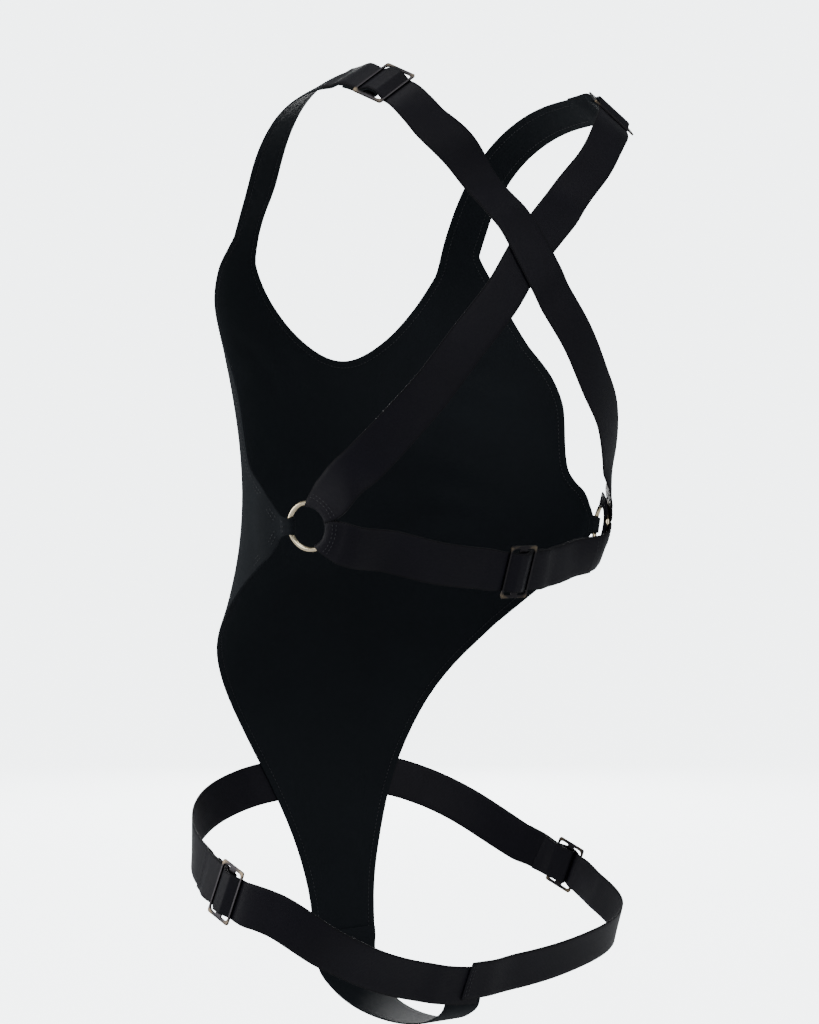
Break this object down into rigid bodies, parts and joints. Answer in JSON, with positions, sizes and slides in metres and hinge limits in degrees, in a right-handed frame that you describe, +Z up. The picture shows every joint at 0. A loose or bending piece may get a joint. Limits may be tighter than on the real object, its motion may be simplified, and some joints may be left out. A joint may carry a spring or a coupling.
{
  "type": "wrestling bodysuit",
  "caption": "Harness-back wrestling bodysuit: stretch front panel, crossed elastic back straps, hip straps, waist rings and metal sliders, hollow and open as worn.",
  "frame": {"origin": "midway between the two shoulder straps, at the height of their highest line, where the wearer carries the garment", "axes": "+Z up, the front faces -Y and the back +Y, the wearer's left is +X"},
  "size_m": [0.3744, 0.274, 0.7116],
  "materials": {
    "panel_cloth": "matte black stretch jersey",
    "elastic_webbing": "dark satin woven elastic",
    "ring_brass": "polished pale antique brass",
    "slider_metal": "gloss black coating over metal"
  },
  "bodies": {
    "root": {"front_panel": "panel_cloth", "crotch_strip": "panel_cloth", "cross_strap_left": "elastic_webbing", "cross_strap_right": "elastic_webbing", "back_strap_left": "elastic_webbing", "back_strap_right": "elastic_webbing", "leg_strap_left": "elastic_webbing", "leg_strap_right": "elastic_webbing", "leg_front_left": "elastic_webbing", "leg_front_right": "elastic_webbing", "ring_left": "ring_brass", "ring_right": "ring_brass", "slider_shoulder_left": "slider_metal", "slider_shoulder_right": "slider_metal", "slider_back": "slider_metal", "slider_leg_left": "slider_metal", "slider_leg_right": "slider_metal"}
  },
  "joints": []
}
